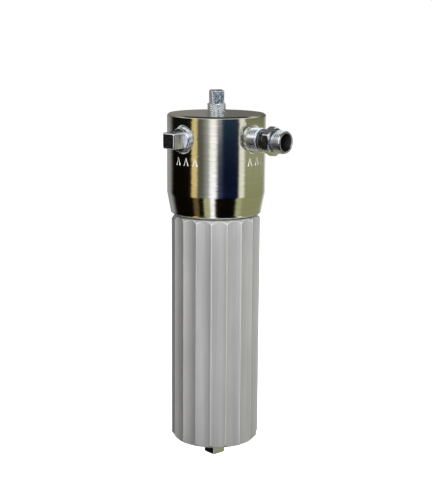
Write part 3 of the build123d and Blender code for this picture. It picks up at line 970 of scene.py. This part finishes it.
def dress_cad_nodes():
    """The CAD nodes that stay as they are, each with its own material."""
    finishes = {
        "stainless_steel": ("element_spigot", "quiet_zone_baffle", "element_core_tube", "outer_cage"),
        "nitrile_rubber": ("element_o_ring", "bowl_o_ring"),
        "potting_resin": ("upper_potting", "lower_potting"),
        "ptfe": ("bowl_backup_ring",), "woven_mesh": ("inner_mesh",), "microfibre": ("microfibre_sleeve",)}
    for finish, nodes in finishes.items():
        for node in nodes:
            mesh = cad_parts[node].data
            mesh.materials.clear()
            mesh.materials.append(MATERIALS[finish])


# ---- Studio ----

VIEW_AZIMUTH = -48.5
VIEW_PITCH = 11.3
VIEW_DISTANCE = 0.865
AIM_Z = -0.0837
VIEW_SHIFT = 0.0006
VIEW_ROLL = 0.35
LENS, SENSOR = 85.7, 36.0
FLOOR_DROP = 0.22           # room under the filter for the bowl and its drain plug to come away


def toward(bearing, elevation):
    """Unit vector from the filter to a bearing, in degrees right of the camera, and an elevation."""
    a, e = math.radians(VIEW_AZIMUTH + bearing), math.radians(elevation)
    return Vector((math.sin(a) * math.cos(e), -math.cos(a) * math.cos(e), math.sin(e)))


def build_camera():
    """The camera, a little above the side ports and rolled very slightly."""
    data = bpy.data.cameras.new("camera")
    data.lens = LENS
    data.sensor_width = SENSOR
    data.clip_start = 0.01
    data.shift_x = VIEW_SHIFT
    back = toward(0, VIEW_PITCH)
    camera = add("camera", data)
    camera.location = Vector((axis_x, axis_y, AIM_Z)) + back * VIEW_DISTANCE
    roll = Matrix.Rotation(math.radians(VIEW_ROLL), 4, "Z")
    camera.rotation_euler = (back.to_track_quat("Z", "Y").to_matrix().to_4x4() @ roll).to_euler()
    bpy.context.scene.camera = camera


def emitter(name, paint):
    """A material that only glows, in one colour or in what a function paints with its nodes."""
    n = Nodes(name)
    n.tree.nodes.clear()
    glow = n.node("ShaderNodeEmission")
    n.feed(glow.inputs["Color"], paint(n) if callable(paint) else paint)
    n.join(glow.outputs[0], n.node("ShaderNodeOutputMaterial").inputs[0])
    return n.material


def hide_from(obj, *rays):
    for ray in rays:
        setattr(obj, "visible_" + ray, False)


# The light that each card and wall of the studio gives off.
PALE_WALL = (0.35, 0.35, 0.4)
SHADED_WALL = (0.24, 0.23, 0.22)
DARK_WALL = (0.15, 0.15, 0.14)
BLACK_FLAG = (0.003, 0.002, 0.001)
GOLD_CARD = (0.7, 0.55, 0.25)
WARM_CARD = (0.9, 0.75, 0.5)
DIM_GOLD_CARD = (0.14, 0.1, 0.05)
DARK_GREY_CARD = (0.1, 0.1, 0.1)
GREY_CARD = (0.35, 0.35, 0.4)
WINDOW = (1.2, 1.2, 1.5)
DUSK_CARD = (0.03, 0.04, 0.12)
NAVY_FLAG = (0.003, 0.006, 0.03)
TEAL_CARD = (0.04, 0.09, 0.14)
BRIGHT_STRIP = (0.9, 0.9, 0.9)
OLIVE_WALL = (0.3, 0.31, 0.2)
PALE_OLIVE_CARD = (0.45, 0.45, 0.3)
WHITE_CARD = (0.85, 0.85, 0.85)
DARK_CORNER = (0.012, 0.014, 0.012)
SOFTBOX = (1.1, 1.15, 1.2)
CEILING = (0.045, 0.05, 0.045)
# The cards round the studio in four rows, each row's cards hung one in front of another in this order.
# A card is its first and last bearing and how far its edges fade, in degrees, and its light. Bearings
# are counted from the camera's own direction, positive to the right.
LEVEL_ROW = (
    (-128, -50, 12, BLACK_FLAG), (-48, 0, 3, DARK_GREY_CARD), (-26, 4, 8, GREY_CARD),
    (0, 56, 4, NAVY_FLAG), (0, 14, 6, DUSK_CARD), (-15, 1, 5, WINDOW), (-58, -44, 3, GOLD_CARD),
    (66, 140, 5, OLIVE_WALL), (54, 68, 3, BRIGHT_STRIP), (152, 168, 8, WHITE_CARD),
)
HIGH_ROW = (
    (-200, -130, 12, SHADED_WALL), (140, 200, 12, DARK_WALL), (-146, -50, 12, DARK_CORNER),
    (-46, -20, 4, DARK_GREY_CARD), (-32, 0, 8, GREY_CARD), (8, 60, 6, TEAL_CARD), (-19, 12, 5, WHITE_CARD),
    (-57, -45, 3, WARM_CARD), (44, 54, 6, DARK_GREY_CARD), (66, 146, 6, DARK_CORNER),
    (54, 68, 4, WHITE_CARD),
)
LOW_ROW = (
    (-125, 0, 12, BLACK_FLAG), (-57, -44, 4, DIM_GOLD_CARD), (-30, 0, 3, PALE_OLIVE_CARD),
    (-3, 52, 5, BLACK_FLAG), (-14, -3, 3, WINDOW), (52, 146, 4, OLIVE_WALL),
    (53, 66, 4, PALE_OLIVE_CARD), (150, 170, 8, WHITE_CARD),
)
OVERHEAD_ROW = ((-200, -130, 12, SHADED_WALL), (140, 200, 12, DARK_WALL), (-110, 120, 15, SOFTBOX))
# The heights, in metres, over which one row gives way to the next
LEVEL_FADE = (-0.75, -0.45)
HIGH_FADE = (-0.20, 0.02)
OVERHEAD_FADE = (0.35, 0.6)
CEILING_FADE = (1.2, 1.9)


def card_row(n, bearing, cards):
    """A row of soft-edged cards in front of the studio's pale wall."""
    colour = PALE_WALL
    for start, end, soft, light in cards:
        began = n.spread(bearing, start - soft, start + soft, smooth=True)
        not_ended = n.spread(bearing, end + soft, end - soft, smooth=True)
        colour = n.mix(n.times(began, not_ended), colour, light)
    return colour


def paint_cards(n):
    """Colour of the cards from the bearing and height of each point on them."""
    along, across, height = n.parts(n.node("ShaderNodeTexCoord").outputs["Object"])
    bearing = n.maths("DEGREES", n.maths("ARCTAN2", across, along))
    colour = card_row(n, bearing, LOW_ROW)
    for fade, row in ((LEVEL_FADE, LEVEL_ROW), (HIGH_FADE, HIGH_ROW), (OVERHEAD_FADE, OVERHEAD_ROW)):
        colour = n.mix(n.spread(height, *fade, smooth=True), colour, card_row(n, bearing, row))
    return n.mix(n.spread(height, *CEILING_FADE, smooth=True), colour, CEILING)


def build_cards():
    """A ring of cards with a ceiling, that only glossy surfaces see. Its own X axis points to the
    camera and its own Y axis to the camera's right, so bearings count from the camera's direction."""
    radius, half_height, columns = 1.5, 2.2, 96
    points, faces = [], []
    for k, a in enumerate(round_angles(columns)):
        points += round_points([[(radius, a, -half_height), (radius, a, half_height)]])[0]
        j = (k + 1) % columns
        faces.append((2 * k, 2 * j, 2 * j + 1, 2 * k + 1))
    faces.append(tuple(range(1, 2 * columns, 2)))
    mesh = bpy.data.meshes.new("studio_cards")
    mesh.from_pydata(points, [], faces)
    mesh.materials.append(emitter("studio_cards", paint_cards))
    ring = add("studio_cards", mesh)
    ring.location = (axis_x, axis_y, 0)
    ring.rotation_euler = (0, 0, math.radians(VIEW_AZIMUTH - 90))
    hide_from(ring, "camera", "diffuse", "shadow", "transmission")


def build_floor():
    """A pale floor that glows enough to meet the white sky without a line, and that sky."""
    material = bpy.data.materials.new("floor")
    material.use_nodes = True
    surface = material.node_tree.nodes["Principled BSDF"]
    for socket, value in (("Base Color", (0.86, 0.86, 0.86, 1)), ("Roughness", 0.9),
                          ("Emission Color", (1, 1, 1, 1)), ("Emission Strength", 0.84)):
        surface.inputs[socket].default_value = value
    size, sky_r = 6.0, 8.0
    mesh = bpy.data.meshes.new("floor")
    corners = [(-size, -size, 0), (size, -size, 0), (size, size, 0), (-size, size, 0)]
    mesh.from_pydata(corners, [], [(0, 1, 2, 3)])
    mesh.materials.append(material)
    floor = add("floor", mesh)
    floor.location = (axis_x, axis_y, cad_box[0].z - FLOOR_DROP)
    hide_from(floor, "glossy", "diffuse")
    mesh = bpy.data.meshes.new("backdrop")
    work = bmesh.new()
    bmesh.ops.create_uvsphere(work, u_segments=48, v_segments=24, radius=sky_r)
    work.to_mesh(mesh)
    work.free()
    mesh.materials.append(emitter("backdrop", (1, 1, 1)))
    backdrop = add("backdrop", mesh)
    hide_from(backdrop, "diffuse", "glossy", "shadow")


def area_light(name, bearing, elevation, distance, size, power):
    """A soft light for the matt surfaces. Its bearing is counted from the camera, positive to the right."""
    data = bpy.data.lights.new(name, "AREA")
    data.shape = "DISK"
    data.size = size
    data.energy = power
    light = add(name, data)
    back = toward(bearing, elevation)
    light.location = Vector((axis_x, axis_y, AIM_Z)) + back * distance
    light.rotation_euler = back.to_track_quat("Z", "Y").to_euler()
    hide_from(light, "glossy")


def build_lights():
    """Soft lights that the matt surfaces see, and an even white sky."""
    area_light("key", 14, 24, 1.6, 0.9, 15)
    area_light("collar", 10, 32, 0.5, 0.25, 1.0)
    area_light("fill", -60, 20, 1.8, 1.0, 4)
    area_light("right_fill", 95, 10, 1.8, 0.9, 8)
    area_light("back_fill", 180, 35, 2.0, 1.2, 14)
    area_light("top", 20, 88, 1.7, 1.4, 14)
    world = bpy.data.worlds.new("world")
    world.use_nodes = True
    sky = world.node_tree.nodes["Background"]
    sky.inputs["Color"].default_value = (1, 1, 1, 1)
    sky.inputs["Strength"].default_value = 0.22
    bpy.context.scene.world = world
    bpy.context.scene.view_settings.view_transform = "Standard"


# ---- Making it ----

build_camera()
build_head()
down = Matrix.Rotation(math.pi, 4, "X")
build_plug("top_port_plug_forged", "top_port_plug", "head", "battered_zinc", SMALL_PLUG,
           head_top_z - sink_width, exposed=7.0, turned=-38)
build_plug("side_port_plug_forged", "side_port_plug", "head", "zinc_plated_steel", LARGE_PLUG,
           port_face, exposed=4.1, turned=0, turned_by=lay(side_plug_angle))
build_plug("drain_plug_forged", "drain_plug", "drain_plug", "zinc_plated_steel", LARGE_PLUG,
           -bowl_bottom_z - sink_width, exposed=3.3, turned=7.5, turned_by=down)
build_nipple()
build_bowl()
build_caps()
build_foam_sleeve()
build_spring()
dress_cad_nodes()
build_cards()
build_floor()
build_lights()
